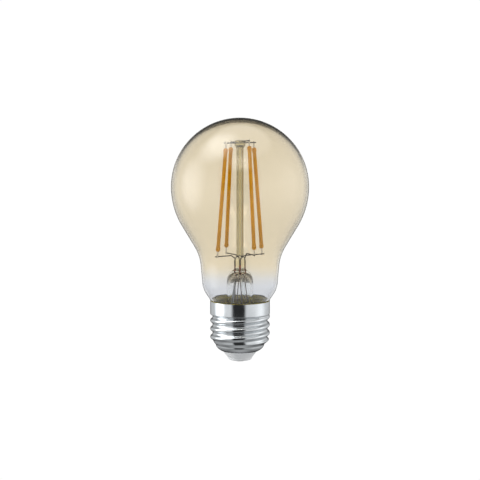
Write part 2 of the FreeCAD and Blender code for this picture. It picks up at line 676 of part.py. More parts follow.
def stem(seals, arms, leads, bridges):
    """Pressed glass stem: flared tube, press, exhaust tube, support tube and top button."""
    flare = turned("flare", [
        ("neck_bore - flare_wall", "neck_bottom"),
        ("neck_bore", "neck_bottom"),
        ("neck_bore", "neck_bottom + flare_wall"),
        ("flare_radius", "flare_up", "neck_bore - flare_radius", -1),
        ("flare_radius", "stem_top - stem_shoulder"),
        ("flare_radius - stem_shoulder", "stem_top", "stem_shoulder", 1),
        ("0", "stem_top"),
        ("0", "stem_top - stem_solid"),
        ("flare_radius - flare_wall - stem_inner_round", "stem_top - stem_solid"),
        ("flare_radius - flare_wall", "stem_top - stem_solid - stem_inner_round",
         "stem_inner_round", -1),
        ("flare_radius - flare_wall", "flare_up"),
        ("neck_bore - flare_wall", "neck_bottom + flare_lip_drop",
         "neck_bore - flare_radius + flare_wall", 1),
    ])
    bore = make("Part::Cylinder", "exhaust_hole", Radius="exhaust_bore", Height="stem_solid + 1")
    put(bore, "exhaust_across", "exhaust_back", "stem_top - stem_solid - 0.5")
    cut("stem_flare", flare, bore, *seals, *leads)

    lens = make("Part::Ellipsoid", "press_lens", Radius1="press_half_height",
                Radius2="press_half_width", Radius3="press_half_depth")
    put(lens, up="press_centre")
    block = make("Part::Box", "press_block", Length="4 * press_half_width",
                 Width="4 * press_half_width", Height="press_top - stem_top")
    put(block, "-2 * press_half_width", "-2 * press_half_width", "stem_top")
    press = make("Part::Common", "press_form")
    press.Base = lens
    press.Tool = block
    cut("stem_press", press, *seals, *arms.values())

    exhaust = turned("exhaust", [
        ("0", "exhaust_tip"),
        ("exhaust_radius", "exhaust_tip + exhaust_radius", "exhaust_radius", 1),
        ("exhaust_radius", "stem_top - stem_solid + 0.2"),
        ("exhaust_bore", "stem_top - stem_solid + 0.2"),
        ("exhaust_bore", "exhaust_tip + 2 * exhaust_radius"),
        ("0", "exhaust_tip + 2 * exhaust_radius"),
    ])
    put(exhaust, "exhaust_across", "exhaust_back")
    cut("exhaust_tube", exhaust, flare)
    keep(tube("support", "support_radius", "support_bore", "press_top", "button_bottom"),
         "support_tube")

    button = turned("button", [
        ("0", "button_bottom"),
        ("support_radius", "button_bottom"),
        ("button_radius", "button_bottom + button_height * 0.4"),
        ("button_radius", "button_bottom + button_height * 0.8"),
        ("button_radius - button_height * 0.2", "button_bottom + button_height",
         "button_height * 0.2", 1),
        ("0", "button_bottom + button_height"),
    ])
    cut("top_button", button, *{wire.Name: wire for wire in bridges.values()}.values())


def filament(name, arm, bridge):
    """One filament: diode chips on a carrier strip inside a phosphor coat, with end pins."""
    angle = "(ring_angle + %s_turn)" % name
    spot = {
        "across": "%s_across - weld_offset * sin(%s)" % (name, angle),
        "back": "%s_back + weld_offset * cos(%s)" % (name, angle),
        "up": "arm_height + %s_lift" % name,
        "yaw": angle,
        "pitch": "-filament_lean",
    }
    coat = turned("coat_" + name, [
        ("0", "coat_start"),
        ("coat_bulge", "coat_start + coat_bulge", "coat_bulge", 1),
        ("coat_bulge", "coat_start + coat_bulge_length / 2"),
        ("coat_radius", "coat_start + coat_bulge_length"),
        ("coat_radius", "filament_length - coat_start - coat_bulge_length"),
        ("coat_bulge", "filament_length - coat_start - coat_bulge_length / 2"),
        ("coat_bulge", "filament_length - coat_start - coat_bulge"),
        ("0", "filament_length - coat_start", "coat_bulge", 1),
    ])
    put(coat, **spot)

    strip = plate("strip_" + name, "strip_width", "strip_thickness",
                  "filament_length - 2 * pin_reach")
    put(strip, **dict(spot, up=spot["up"] + " + pin_reach * cos(filament_lean)",
                      across=spot["across"] + " - pin_reach * sin(filament_lean) * cos(%s)" % angle,
                      back=spot["back"] + " - pin_reach * sin(filament_lean) * sin(%s)" % angle))
    keep(strip, "carrier_strip_" + name)

    chips = doc.addObject("PartDesign::Body", "chips_" + name)
    sketch = new_sketch(chips, "XY_Plane", "chip_outline_" + name)
    bind(sketch, AttachmentOffset__Base__z="pin_reach + chip_margin")
    wide, face = "chip_width / 2", "strip_thickness / 2"
    outer = face + " + chip_height"
    draw(sketch, [("-" + wide, "-(%s)" % outer), (wide, "-(%s)" % outer),
                  (wide, "-" + face), ("-" + wide, "-" + face)])
    pad = chips.newObject("PartDesign::Pad", "chip_" + name)
    pad.Profile = sketch
    bind(pad, Length="chip_length")
    row = chips.newObject("PartDesign::LinearPattern", "chip_row_" + name)
    row.Originals = [pad]
    row.Direction = (sketch, ["N_Axis"])
    bind(row, Length="filament_length - 2 * (pin_reach + chip_margin) - chip_length",
         Occurrences="chip_count")
    chips.Tip = row
    put(chips, **spot)
    keep(chips, "diode_chips_" + name)

    pins = doc.addObject("PartDesign::Body", "pins_" + name)
    wide, deep = "strip_width / 2", "strip_thickness / 2"
    for end, level in (("lower", "-pin_overshoot"), ("upper", "filament_length - pin_reach")):
        sketch = new_sketch(pins, "XY_Plane", "%s_pin_outline_%s" % (end, name))
        bind(sketch, AttachmentOffset__Base__z=level)
        draw(sketch, [("-" + wide, "-" + deep), (wide, "-" + deep), (wide, deep),
                      ("-" + wide, deep)])
        pad = pins.newObject("PartDesign::Pad", "%s_pin_%s" % (end, name))
        pad.Profile = sketch
        bind(pad, Length="pin_reach + pin_overshoot")
    put(pins, **spot)
    cut("filament_pins_" + name, pins, arm, bridge)
    cut("phosphor_coat_" + name, coat, strip, chips, pins)


def driver_block(label, floor):
    """A rectangular component that stands on the given face."""
    block = plate(label + "_body", label + "_width", label + "_depth", label + "_height")
    put(block, label + "_across", label + "_back", floor)
    keep(block, label)


def chip_group(label, spots):
    """Several small components of one kind, each one a solid of its own."""
    body = doc.addObject("PartDesign::Body", label + "_group")
    wide, deep = label + "_width / 2", label + "_depth / 2"
    for index in range(1, len(spots) + 1):
        sketch = new_sketch(body, "XY_Plane", "%s_outline_%d" % (label, index))
        bind(sketch, AttachmentOffset__Base__z="board_top")
        across, back = "%s_across_%d" % (label, index), "%s_back_%d" % (label, index)
        left, right = "%s - %s" % (across, wide), "%s + %s" % (across, wide)
        near, far = "%s - %s" % (back, deep), "%s + %s" % (back, deep)
        draw(sketch, [(left, near), (right, near), (right, far), (left, far)])
        pad = body.newObject("PartDesign::Pad", "%s_%d" % (label, index))
        pad.Profile = sketch
        bind(pad, Length=label + "_height")
    keep(body, label)


def driver_top():
    """Driver board and what stands on its upper face, under the open stem."""
    keep(turned("board", [("0", "board_bottom"), ("board_radius", "board_bottom"),
                          ("board_radius", "board_top"), ("0", "board_top")]), "driver_board")
    for label, (floor, _) in BLOCKS.items():
        driver_block(label, floor)
    for label, (_, spots) in CHIPS.items():
        chip_group(label, spots)
    middle_across, middle_back = "wireless_chip_across", "wireless_chip_back"
    can = make("Part::Box", "can_outside", Length="can_width", Width="can_depth",
               Height="can_height")
    put(can, middle_across + " - can_width / 2", middle_back + " - can_depth / 2", "module_top")
    hollow = make("Part::Box", "can_inside", Length="can_width - 2 * can_wall",
                  Width="can_depth - 2 * can_wall", Height="can_height - can_wall")
    put(hollow, middle_across + " - can_width / 2 + can_wall",
        middle_back + " - can_depth / 2 + can_wall", "module_top")
    cut("wireless_shield", can, hollow)


def driver_underside():
    """Taller components that hang under the board, inside the insulating cup."""
    capacitor = turned("capacitor", [
        ("0", "board_bottom - capacitor_length"),
        ("capacitor_radius", "board_bottom - capacitor_length"),
        ("capacitor_radius", "board_bottom"), ("0", "board_bottom")])
    put(capacitor, "capacitor_across", "capacitor_back")
    keep(capacitor, "bulk_capacitor")
    core = turned("core", [
        ("0", "board_bottom - choke_length"),
        ("choke_radius", "board_bottom - choke_length"),
        ("choke_radius", "board_bottom - choke_length + choke_flange"),
        ("choke_waist", "board_bottom - choke_length + choke_flange"),
        ("choke_waist", "board_bottom - choke_flange"),
        ("choke_radius", "board_bottom - choke_flange"),
        ("choke_radius", "board_bottom"), ("0", "board_bottom")])
    put(core, "choke_across", "choke_back")
    keep(core, "choke_core")
    winding = tube("winding", "choke_radius - winding_set_in", "choke_waist",
                   "board_bottom - choke_length + choke_flange", "board_bottom - choke_flange")
    put(winding, "choke_across", "choke_back")
    keep(winding, "choke_winding")
    resistor = turned("fusible", [
        ("0", "board_bottom - fusible_length"),
        ("fusible_radius", "board_bottom - fusible_length"),
        ("fusible_radius", "board_bottom"), ("0", "board_bottom")])
    put(resistor, "fusible_across", "fusible_back")
    keep(resistor, "fusible_resistor")
    keep(make("Part::Cylinder", "live", Radius="lead_diameter / 2",
              Height="board_bottom - shank_top"), "live_wire")
    put(doc.getObject("live"), up="shank_top")


def driver_wires():
    """The wire pinched against the shell, and the aerial that rises into the glass stem."""
    neutral = bent_wire("neutral", "lead_diameter", [
        ("0", "board_top"), ("0", "neutral_height"),
        ("thread_crest - shell_wall - neutral_start - neutral_gap", "neutral_height")])
    put(neutral, "neutral_start")
    keep(neutral, "neutral_wire")
    aerial = bent_wire("aerial", "lead_diameter", [
        ("0", "module_top"), ("0", "module_top + aerial_foot"), ("aerial_reach", "aerial_level"),
        ("aerial_reach", "aerial_top")])
    put(aerial, "aerial_across", "aerial_back", yaw="aerial_yaw")
    keep(aerial, "antenna_wire")


def check_and_write():
    """Refuse any failed object, then write each sub-part to its own file."""
    doc.recompute()
    for thing in doc.Objects:
        if {"Invalid", "Error"} & set(thing.State):
            raise RuntimeError("%s failed: %s" % (thing.Label, thing.State))
    os.makedirs("parts", exist_ok=True)
    for thing in parts:
        if thing.Shape.isNull() or not thing.Shape.isValid():
            raise RuntimeError("%s has no valid shape" % thing.Label)
    for thing in parts:
        thing.Shape.exportStep("parts/%s.step" % thing.Label)
        print("%-42s %3d solids %10.3f mm3"
              % (thing.Label, len(thing.Shape.Solids), thing.Shape.Volume))


def fill_sheets():
    """Write the driving dimensions, then the values that follow from them."""
    for alias, value, note in SIZES:
        dimension(alias, value, note)
    for label, values in SEALS.items():
        for word, value in values.items():
            dimension(label + "_" + word, value, "lead wire")
    for label, (_, values) in {**FILAMENTS, **BLOCKS}.items():
        for word, value in values.items():
            dimension(label + "_" + word, value, label.replace("_", " "))
    for label, (values, spots) in CHIPS.items():
        for word, value in values.items():
            dimension(label + "_" + word, value, label.replace("_", " "))
        for index, (across, back) in enumerate(spots, start=1):
            dimension("%s_across_%d" % (label, index), across, "place of one of the group")
            dimension("%s_back_%d" % (label, index), back, "place of one of the group")
    doc.recompute()
    for alias, formula, note in WORKED_OUT:
        work_out(alias, formula, note)
    for name in FILAMENTS:
        work_out(name + "_across", "ring_bottom * cos(ring_angle + %s_turn)" % name, "lower weld")
        work_out(name + "_back", "ring_bottom * sin(ring_angle + %s_turn)" % name, "lower weld")


def main():
    """Fill the sheets, build every sub-part and write them."""
    fill_sheets()
    glass_envelope()
    screw_shell()
    insulator()
    centre_contact()
    basing_cement()
    seals = seal_wires()
    arms = support_arms()
    leads = outer_leads()
    lead_sleeve()
    bridges = bridge_wires()
    stem(seals, arms, leads, bridges)
    for name in FILAMENTS:
        filament(name, arms[name], bridges[name])
    driver_top()
    driver_underside()
    driver_wires()
    check_and_write()


main()
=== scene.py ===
import math

import bmesh
import bpy
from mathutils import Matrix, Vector


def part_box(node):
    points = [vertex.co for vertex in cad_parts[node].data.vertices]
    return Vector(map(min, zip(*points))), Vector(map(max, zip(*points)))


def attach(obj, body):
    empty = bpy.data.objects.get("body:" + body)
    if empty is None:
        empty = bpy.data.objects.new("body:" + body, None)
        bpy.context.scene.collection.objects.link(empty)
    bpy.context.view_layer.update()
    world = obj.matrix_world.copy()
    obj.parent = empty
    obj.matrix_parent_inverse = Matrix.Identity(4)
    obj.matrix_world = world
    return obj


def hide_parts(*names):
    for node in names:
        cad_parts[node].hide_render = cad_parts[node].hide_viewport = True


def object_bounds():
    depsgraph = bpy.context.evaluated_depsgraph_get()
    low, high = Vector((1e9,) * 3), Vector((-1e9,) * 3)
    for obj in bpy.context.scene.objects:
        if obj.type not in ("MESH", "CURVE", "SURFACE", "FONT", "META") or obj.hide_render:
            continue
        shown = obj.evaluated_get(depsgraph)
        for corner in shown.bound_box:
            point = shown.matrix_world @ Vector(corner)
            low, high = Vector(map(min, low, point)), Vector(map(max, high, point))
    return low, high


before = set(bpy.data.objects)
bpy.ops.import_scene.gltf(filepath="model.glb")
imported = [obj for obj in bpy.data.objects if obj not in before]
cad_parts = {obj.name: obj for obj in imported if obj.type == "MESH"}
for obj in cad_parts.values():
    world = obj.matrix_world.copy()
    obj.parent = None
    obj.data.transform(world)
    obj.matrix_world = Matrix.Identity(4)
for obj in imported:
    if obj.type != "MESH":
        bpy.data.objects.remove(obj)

cad_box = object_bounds()
scene = bpy.context.scene

# ---------------------------------------------------------------------------------------------
# The studio: a pale table that runs on into a pale wall, and a long lens a little above the middle
# of the bulb. Soft boxes stand at each side, overhead and in front, with white cloths around.
# ---------------------------------------------------------------------------------------------
bulb_middle = (cad_box[0][2] + cad_box[1][2]) / 2
camera_distance = 0.80
camera_rise = math.radians(6.6)
camera_lens = 137.6

camera_data = bpy.data.cameras.new("camera")
camera_data.lens = camera_lens
camera_data.sensor_width = 36.0
camera_data.clip_start = 0.01
camera = bpy.data.objects.new("camera", camera_data)
scene.collection.objects.link(camera)
camera.location = (0.0, -camera_distance * math.cos(camera_rise),
                   bulb_middle + camera_distance * math.sin(camera_rise))
camera.rotation_euler = (math.pi / 2 - camera_rise, 0.0, 0.0)
scene.camera = camera

scene.view_settings.view_transform = "Standard"
scene.cycles.max_bounces = 24
scene.cycles.transmission_bounces = 20
scene.cycles.glossy_bounces = 8
scene.cycles.transparent_max_bounces = 16
scene.cycles.caustics_refractive = True
scene.cycles.caustics_reflective = True


def new_material(name):
    """Start a node material; return it with its node list, links and Principled shader."""
    material = bpy.data.materials.new(name)
    material.use_nodes = True
    nodes = material.node_tree.nodes
    return material, nodes, material.node_tree.links, nodes["Principled BSDF"]


def studio_board(name, size, place, turn, glow=0.0):
    """Put up one plain board of the studio, lit evenly by its own glow."""
    bpy.ops.object.select_all(action="DESELECT")
    bpy.ops.mesh.primitive_plane_add(size=1.0, location=place, rotation=turn)
    board = bpy.context.object
    board.name = name
    board.scale = (size[0], size[1], 1.0)
    material, _, _, shader = new_material(name + "_paper")
    shader.inputs["Base Color"].default_value = (0.0, 0.0, 0.0, 1.0)
    shader.inputs["Roughness"].default_value = 0.9
    shader.inputs["Specular IOR Level"].default_value = 0.0
    shader.inputs["Emission Color"].default_value = (1.0, 1.0, 1.0, 1.0)
    shader.inputs["Emission Strength"].default_value = glow
    board.data.materials.append(material)
    return board


def camera_side_only(board):
    """Let a board be seen directly and through glass, without lighting the bulb."""
    board.visible_glossy = False
    board.visible_diffuse = False
    board.visible_shadow = False


paper_glow = 1.02
floor = studio_board("studio_floor", size=(12.0, 12.0), place=(0.0, 0.0, -0.0002),
                     turn=(0.0, 0.0, 0.0), glow=paper_glow)
wall = studio_board("studio_wall", size=(14.0, 2.0), place=(0.0, 5.0, -0.60),
                    turn=(math.pi / 2, 0.0, 0.0), glow=paper_glow)
camera_side_only(floor)
camera_side_only(wall)


def paint_ramp(name, stops):
    """Add a grey ramp to the surround from (position, brightness) stops."""
    ramp = air.nodes.new("ShaderNodeValToRGB")
    ramp.name = name
    for position, _ in stops[1:-1]:
        ramp.color_ramp.elements.new(position)
    for element, (position, value) in zip(ramp.color_ramp.elements, stops):
        element.position = position
        element.color = (value, value, value, 1.0)
    return ramp


def layer(kind):
    """Add a full-strength colour layer to the surround."""
    mix = air.nodes.new("ShaderNodeMixRGB")
    mix.blend_type = kind
    mix.inputs["Fac"].default_value = 1.0
    return mix


world = bpy.data.worlds.new("studio_air")
world.use_nodes = True
scene.world = world
air = world.node_tree
backdrop = air.nodes["Background"]
backdrop.inputs["Strength"].default_value = 1.12
heading = air.nodes.new("ShaderNodeTexCoord")
split = air.nodes.new("ShaderNodeSeparateXYZ")
ahead = air.nodes.new("ShaderNodeMath")
ahead.operation = "MULTIPLY"
ahead.inputs[1].default_value = -1.0
bearing = air.nodes.new("ShaderNodeMath")
bearing.operation = "ARCTAN2"
round_about = air.nodes.new("ShaderNodeMapRange")
round_about.inputs["From Min"].default_value = -math.pi
round_about.inputs["From Max"].default_value = math.pi
level = air.nodes.new("ShaderNodeMapRange")
level.inputs["From Min"].default_value = -1.0
# white cloths in front at the left and right, a dark gap between them, dark behind
cloths = ((-180, 0.05), (-164, 0.08), (-148, 0.60), (-110, 0.75), (-76, 0.95), (-36, 0.95),
          (-26, 0.03), (16, 0.03), (25, 0.85), (60, 1.0), (75, 1.2), (110, 0.9), (148, 0.60),
          (164, 0.08), (180, 0.05))
drapes = paint_ramp("drapes", [((angle + 180) / 360, value) for angle, value in cloths])
# the cloths are dimmer near the table and towards the top
fading = paint_ramp("fading", [(0.0, 0.22), (0.20, 0.50), (0.40, 0.95), (0.55, 1.0), (0.70, 0.75),
                               (0.9, 0.35), (1.0, 0.3)])
# some light comes off the table below, and a bright sheet hangs overhead
above_below = paint_ramp("above_below", [(0.0, 0.45), (0.06, 0.25), (0.16, 0.05), (0.42, 0.03),
                                         (0.85, 0.03), (0.91, 0.80), (1.0, 1.0)])
shade = layer("MULTIPLY")
lighter = layer("LIGHTEN")
air.links.new(heading.outputs["Generated"], split.inputs["Vector"])
air.links.new(split.outputs["Y"], ahead.inputs[0])
air.links.new(split.outputs["X"], bearing.inputs[0])
air.links.new(ahead.outputs["Value"], bearing.inputs[1])
air.links.new(bearing.outputs["Value"], round_about.inputs["Value"])
air.links.new(round_about.outputs["Result"], drapes.inputs["Fac"])
air.links.new(split.outputs["Z"], level.inputs["Value"])
air.links.new(level.outputs["Result"], fading.inputs["Fac"])
air.links.new(level.outputs["Result"], above_below.inputs["Fac"])
air.links.new(drapes.outputs["Color"], shade.inputs["Color1"])
air.links.new(fading.outputs["Color"], shade.inputs["Color2"])
air.links.new(shade.outputs["Color"], lighter.inputs["Color1"])
air.links.new(above_below.outputs["Color"], lighter.inputs["Color2"])
air.links.new(lighter.outputs["Color"], backdrop.inputs["Color"])


def soft_box(name, place, size, strength):
    """Stand one soft box facing the bulb: a lit cloth that fades out towards its edges."""
    lean = Vector((0.0, 0.0, bulb_middle)) - Vector(place)
    box = studio_board(name, size, place, lean.to_track_quat("Z", "Y").to_euler())
    nodes, links = box.active_material.node_tree.nodes, box.active_material.node_tree.links
    cloth = nodes.new("ShaderNodeTexCoord")
    spread = nodes.new("ShaderNodeVectorMath")
    spread.operation = "LENGTH"
    fade = nodes.new("ShaderNodeMapRange")
    fade.interpolation_type = "SMOOTHERSTEP"
    fade.inputs["From Min"].default_value = 0.5
    fade.inputs["From Max"].default_value = 0.0
    fade.inputs["To Max"].default_value = strength
    glow = nodes.new("ShaderNodeEmission")
    clear = nodes.new("ShaderNodeBsdfTransparent")
    both = nodes.new("ShaderNodeAddShader")
    links.new(cloth.outputs["Object"], spread.inputs[0])
    links.new(spread.outputs["Value"], fade.inputs["Value"])
    links.new(fade.outputs["Result"], glow.inputs["Strength"])
    links.new(glow.outputs["Emission"], both.inputs[0])
    links.new(clear.outputs["BSDF"], both.inputs[1])
    links.new(both.outputs["Shader"], nodes["Material Output"].inputs["Surface"])
    box.visible_camera = False
    box.visible_transmission = False
    return box


soft_box("soft_box_left", place=(-0.55, -0.03, 0.12), size=(0.80, 1.00), strength=2.9)
soft_box("soft_box_right", place=(0.60, 0.03, 0.12), size=(0.66, 0.86), strength=0.45)
soft_box("soft_box_overhead", place=(-0.40, -0.06, 0.80), size=(1.2, 1.2), strength=4.5)
# the fill lights the filaments through the glass without a reflection of its own
fill_box = soft_box("soft_box_fill", place=(0.0, -0.60, 0.66), size=(0.90, 0.60), strength=5.5)
fill_box.visible_glossy = False
fill_box.visible_transmission = True

# ---------------------------------------------------------------------------------------------
# Glass envelope: one shell of soda glass, blown into a mould and tinted amber down to the neck.
# Its narrow end is sunk in the cap, and the stem is melted into that end.
# ---------------------------------------------------------------------------------------------
MM = 0.001
envelope_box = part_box("glass_envelope")
globe_radius = (envelope_box[1].x - envelope_box[0].x) / 2
globe_centre = envelope_box[1].z - globe_radius
neck_end = envelope_box[0].z
shell_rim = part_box("screw_shell")[1].z
glass_wall = 0.8 * MM
lower_globe_radius = 33.0 * MM
lower_globe_start = 2.0
waist_radius = 20.0 * MM
shoulder_radius = 10.3 * MM
flank_angle = 31.0
neck_angle = 5.0
shoulder_angle = 33.0
neck_line = 7.5 * MM
shoulder_line = 3.27 * MM
rim_roll = 0.9 * MM
rim_gap = 0.05 * MM
neck_radius = 11.7 * MM
neck_corner = 0.6 * MM
clear_top = 35.5 * MM
amber_bottom = 44.5 * MM


def arc_points(centre, radius, first, last, steps):
    """Points (across, up) along an arc; angles in degrees from the level."""
    angles = [math.radians(first + (last - first) * step / steps) for step in range(steps + 1)]
    return [(centre[0] + radius * math.cos(angle), centre[1] + radius * math.sin(angle))
            for angle in angles]


def turned(name, outline, steps=96):
    """Turn an outline of (across, up) points about the bulb's axis into a closed skin."""
    bpy.ops.object.select_all(action="DESELECT")
    bpy.ops.mesh.primitive_plane_add(size=MM, location=(0.0, 0.0, 0.0))
    piece = bpy.context.object
    piece.name = name
    bpy.ops.object.mode_set(mode="EDIT")
    bpy.ops.mesh.select_all(action="SELECT")
    bpy.ops.mesh.merge(type="CENTER")
    bpy.ops.transform.translate(value=(outline[0][0], 0.0, outline[0][1]))
    for before, after in zip(outline, outline[1:]):
        step = (after[0] - before[0], 0.0, after[1] - before[1])
        bpy.ops.mesh.extrude_region_move(TRANSFORM_OT_translate={"value": step})
    bpy.ops.mesh.select_all(action="SELECT")
    bpy.ops.mesh.spin(steps=steps, angle=2 * math.pi, center=(0, 0, 0), axis=(0, 0, 1))
    bpy.ops.mesh.select_all(action="SELECT")
    bpy.ops.mesh.remove_doubles(threshold=0.003 * MM)
    bpy.ops.mesh.normals_make_consistent(inside=False)
    bpy.ops.object.mode_set(mode="OBJECT")
    bpy.ops.object.shade_smooth_by_angle(angle=math.radians(40))
    return piece


def apply_modifier(piece, kind, **settings):
    """Add one modifier with its settings and apply it."""
    bpy.context.view_layer.objects.active = piece
    modifier = piece.modifiers.new(kind.lower(), kind)
    for name, value in settings.items():
        setattr(modifier, name, value)
    bpy.ops.object.modifier_apply(modifier=modifier.name)


def finish_piece(piece, material, slot, *nodes):
    """Give a piece its material and its body, in place of the CAD nodes; its record slot is not used.
    """
    piece.data.materials.clear()
    piece.data.materials.append(material)
    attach(piece, "root")
    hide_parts(*nodes)


def envelope_outline():
    """The outside of the glass, from the crown to the end of the neck."""
    flank, neck, shoulder = (math.radians(a) for a in (flank_angle, neck_angle, shoulder_angle))
    rim = (neck_radius + neck_corner, shell_rim + rim_gap + rim_roll)
    shoulder_centre = (rim[0] + (rim_roll - shoulder_radius) * math.cos(shoulder)
                       + shoulder_line * math.sin(shoulder),
                       rim[1] + (shoulder_radius - rim_roll) * math.sin(shoulder)
                       + shoulder_line * math.cos(shoulder))
    waist_centre = (shoulder_centre[0] + (shoulder_radius + waist_radius) * math.cos(neck)
                    + neck_line * math.sin(neck),
                    shoulder_centre[1] - (shoulder_radius + waist_radius) * math.sin(neck)
                    + neck_line * math.cos(neck))
    corner = (rim[0], rim[1] - rim_roll - neck_corner)
    return (arc_points((0.0, globe_centre), globe_radius, 90.0, 0.0, 44)
            + arc_points((globe_radius - lower_globe_radius, globe_centre), lower_globe_radius,
                         -lower_globe_start, -flank_angle, 14)
            + arc_points(waist_centre, waist_radius, 180.0 - flank_angle, 180.0 - neck_angle, 12)
            + arc_points(shoulder_centre, shoulder_radius, -neck_angle, -shoulder_angle, 10)
            + arc_points(rim, rim_roll, -shoulder_angle, -90.0, 6)
            + arc_points(corner, neck_corner, 90.0, 180.0, 5)
            + [(neck_radius, neck_end)])


def amber_glass():
    """Clear glass with the amber coat fading out at the neck, the faint waves of blowing, and painted
    shade that darkens its colour towards the outline.
    """
    material, nodes, links, shader = new_material("amber_blown_glass")
    shader.inputs["Roughness"].default_value = 0.0
    shader.inputs["IOR"].default_value = 1.5
    shader.inputs["Specular IOR Level"].default_value = 0.2
    shader.inputs["Transmission Weight"].default_value = 1.0
    place = nodes.new("ShaderNodeTexCoord")
    split = nodes.new("ShaderNodeSeparateXYZ")
    height = nodes.new("ShaderNodeMapRange")
    height.inputs["From Min"].default_value = clear_top
    height.inputs["From Max"].default_value = amber_bottom
    cloud = nodes.new("ShaderNodeTexNoise")
    cloud.inputs["Scale"].default_value = 60.0
    cloud.inputs["Detail"].default_value = 3.0
    drift = nodes.new("ShaderNodeMath")
    drift.operation = "MULTIPLY_ADD"
    drift.inputs[1].default_value = 4.0 * MM
    tint = nodes.new("ShaderNodeValToRGB")
    tint.color_ramp.interpolation = "EASE"
    tint.color_ramp.elements[0].color = (0.80, 0.815, 0.84, 1.0)
    tint.color_ramp.elements[1].color = (0.86, 0.80, 0.675, 1.0)
    links.new(place.outputs["Object"], split.inputs["Vector"])
    links.new(place.outputs["Object"], cloud.inputs["Vector"])
    links.new(cloud.outputs["Fac"], drift.inputs[0])
    links.new(split.outputs["Z"], drift.inputs[2])
    links.new(drift.outputs["Value"], height.inputs["Value"])
    links.new(height.outputs["Result"], tint.inputs["Fac"])
    # painted shade: the depth ramp darkens the glass colour towards its outline, a painted dark
    # outline
    slant = nodes.new("ShaderNodeLayerWeight")
    slant.inputs["Blend"].default_value = 0.5
    depth = nodes.new("ShaderNodeValToRGB")
    depth.color_ramp.elements[0].position = 0.62
    depth.color_ramp.elements[0].color = (1.0, 1.0, 1.0, 1.0)
    depth.color_ramp.elements[1].position = 0.97
    depth.color_ramp.elements[1].color = (0.30, 0.31, 0.31, 1.0)
    painted_outline_shade = nodes.new("ShaderNodeMixRGB")
    painted_outline_shade.blend_type = "MULTIPLY"
    painted_outline_shade.inputs["Fac"].default_value = 1.0
    links.new(slant.outputs["Facing"], depth.inputs["Fac"])
    links.new(tint.outputs["Color"], painted_outline_shade.inputs["Color1"])
    links.new(depth.outputs["Color"], painted_outline_shade.inputs["Color2"])
    links.new(painted_outline_shade.outputs["Color"], shader.inputs["Base Color"])
    wave = nodes.new("ShaderNodeTexNoise")
    wave.inputs["Scale"].default_value = 35.0
    wave.inputs["Detail"].default_value = 1.0
    relief = nodes.new("ShaderNodeBump")
    relief.inputs["Strength"].default_value = 0.02
    relief.inputs["Distance"].default_value = 0.4 * MM
    links.new(place.outputs["Object"], wave.inputs["Vector"])
    links.new(wave.outputs["Fac"], relief.inputs["Height"])
    links.new(relief.outputs["Normal"], shader.inputs["Normal"])
    return material


envelope = turned("envelope_glass", envelope_outline(), steps=128)
apply_modifier(envelope, "SOLIDIFY", thickness=glass_wall, offset=-1.0, use_even_offset=True)
finish_piece(envelope, amber_glass(), "amber_glass", "glass_envelope")

# ---------------------------------------------------------------------------------------------
# Screw shell: bright nickel-plated sheet, drawn to a cup and rolled with the right-hand thread.
# A plain collar is left above the thread, and the bottom is curled in over the insulator.
# ---------------------------------------------------------------------------------------------
shell_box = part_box("screw_shell")
thread_crest = shell_box[1].x
thread_depth = 1.05 * MM
thread_root = thread_crest - thread_depth
thread_pitch = 3.629 * MM
thread_arc = 1.025 * MM
thread_start = 7.94 * MM
shell_wall = 0.3 * MM
lip_radius = 7.9 * MM
bowl_radius = 10.6 * MM
bowl_height = 7.3 * MM
bowl_fullness = 0.8
root_height = 9.9 * MM
first_turn = (7.6 * MM, 10.0 * MM)
last_turn = (19.9 * MM, 21.1 * MM)
facets = 180
rings = 150


def smooth_step(value, low, high):
    """Ease from 0 at low to 1 at high."""
    part = min(max((value - low) / (high - low), 0.0), 1.0)
    return part * part * (3.0 - 2.0 * part)


def thread_rise(turn_angle, height):
    """How far the rolled sheet stands between root (0) and crest (1) at one spot."""
    turns = (height - thread_start) / thread_pitch - (turn_angle + math.pi / 2) / (2 * math.pi)
    off = abs(turns - round(turns)) * thread_pitch
    if off < thread_pitch / 4:
        return 1.0 - (thread_arc - math.sqrt(thread_arc ** 2 - off ** 2)) / thread_depth
    off = thread_pitch / 2 - off
    return (thread_arc - math.sqrt(thread_arc ** 2 - off ** 2)) / thread_depth


def shell_radius(turn_angle, height):
    """Outer radius of the metal shell at one spot."""
    if height < bowl_height:
        part = (height - shell_box[0].z) / (bowl_height - shell_box[0].z)
        return lip_radius + (bowl_radius - lip_radius) * math.sin(part * math.pi / 2) ** bowl_fullness
    upper = smooth_step(height, *last_turn)
    rise = thread_rise(turn_angle, height) * smooth_step(height, *first_turn)
    rise = rise + (1.0 - rise) * upper
    taper = smooth_step(height, 2 * bowl_height - root_height, root_height)
    base = bowl_radius + (thread_root - bowl_radius) * (taper - 0.5) * 2.0
    return base + thread_depth * rise


